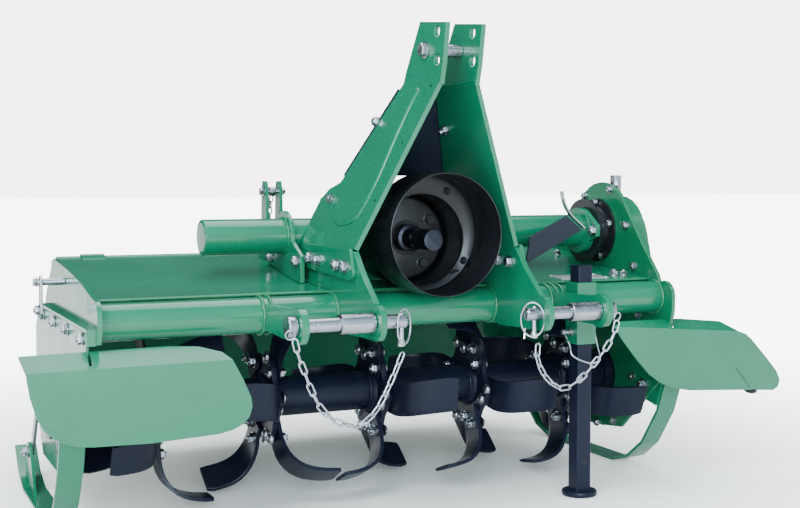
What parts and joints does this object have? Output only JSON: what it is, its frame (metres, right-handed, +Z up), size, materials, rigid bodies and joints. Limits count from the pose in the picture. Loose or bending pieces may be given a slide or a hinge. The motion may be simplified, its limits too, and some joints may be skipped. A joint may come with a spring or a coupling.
{
  "type": "rotary tiller",
  "caption": "Tractor-mounted rotary tiller with a three-point hitch, side chain drive, bladed rotor under a hood, front guards and a parking stand.",
  "frame": {"origin": "centre of the bounding box in plan, on the ground the tiller stands on", "axes": "+X across the machine towards the chain case, +Y towards the rear board with the hitch at -Y, +Z up"},
  "size_m": [1.4385, 0.8411, 0.833],
  "materials": {
    "green_paint": "gloss",
    "navy_paint": "semi-gloss",
    "black_paint": "semi-gloss",
    "black_plastic": "satin",
    "cast_gear_case": "painted black",
    "zinc_steel": "zinc plated"
  },
  "bodies": {
    "frame": {"chain_case_cover": "green_paint", "chain_case_filler_plug": "zinc_steel", "chain_case_plate": "green_paint", "drive_bearing_flange": "black_paint", "drive_shaft_tube": "green_paint", "front_tube": "green_paint", "gearbox": "cast_gear_case", "gearbox_base": "green_paint", "hood": "green_paint", "input_shaft_shield": "black_plastic", "left_guard": "green_paint", "left_hanger_strap": "zinc_steel", "left_hitch_pin": "zinc_steel", "left_hitch_plate": "green_paint", "left_hitch_sleeve": "zinc_steel", "left_lynch_pin": "zinc_steel", "left_mast_plate": "green_paint", "left_outer_eye_plate": "green_paint", "left_pin_chain": "zinc_steel", "left_rotor_bearing": "black_paint", "left_side_panel": "green_paint", "left_side_plate": "green_paint", "left_skid": "green_paint", "left_skid_strap": "zinc_steel", "left_upper_tube": "green_paint", "left_upper_tube_clamp": "green_paint", "mast_rear_panel": "navy_paint", "rear_board_bracket": "green_paint", "right_guard": "green_paint", "right_hitch_pin": "zinc_steel", "right_hitch_plate": "green_paint", "right_hitch_sleeve": "zinc_steel", "right_lynch_pin": "zinc_steel", "right_mast_plate": "green_paint", "right_outer_eye_plate": "green_paint", "right_pin_chain": "zinc_steel", "right_skid": "green_paint", "right_skid_strap": "zinc_steel", "right_strap_bracket": "green_paint", "right_upper_tube_clamp": "green_paint", "shaft_rest_hook": "zinc_steel", "shaft_rest_plate": "navy_paint", "stand_lock_pin": "zinc_steel", "stand_socket": "green_paint", "top_link_spacer": "zinc_steel"},
    "rotor": {"blade_set_1": "navy_paint", "blade_set_2": "navy_paint", "blade_set_3": "navy_paint", "blade_set_4": "navy_paint", "blade_set_5": "navy_paint", "rotor_shaft": "navy_paint"},
    "input_shaft": {"input_shaft": "zinc_steel"},
    "stand_leg": {"stand_leg": "navy_paint"},
    "rear_board": {"rear_board": "green_paint"}
  },
  "joints": [
    {"name": "rotor_spin", "type": "hinge", "parent": "frame", "child": "rotor", "pos_m": [-0.0458, -0.0376, 0.181], "axis": [1, 0, 0], "continuous": true},
    {"name": "input_shaft_spin", "type": "hinge", "parent": "frame", "child": "input_shaft", "pos_m": [-0.0458, -0.2176, 0.472], "axis": [0, 1, 0], "continuous": true},
    {"name": "stand_slide", "type": "slide", "parent": "frame", "child": "stand_leg", "axis": [0, 0, 1], "range_m": [0, 0.2]},
    {"name": "rear_board_hinge", "type": "hinge", "parent": "frame", "child": "rear_board", "pos_m": [-0.0458, 0.1844, 0.424], "axis": [1, 0, 0], "range_deg": [0, 60]}
  ],
  "couplings": [
    {"joint": "input_shaft_spin", "follows": "rotor_spin", "ratio": -2.6}
  ]
}
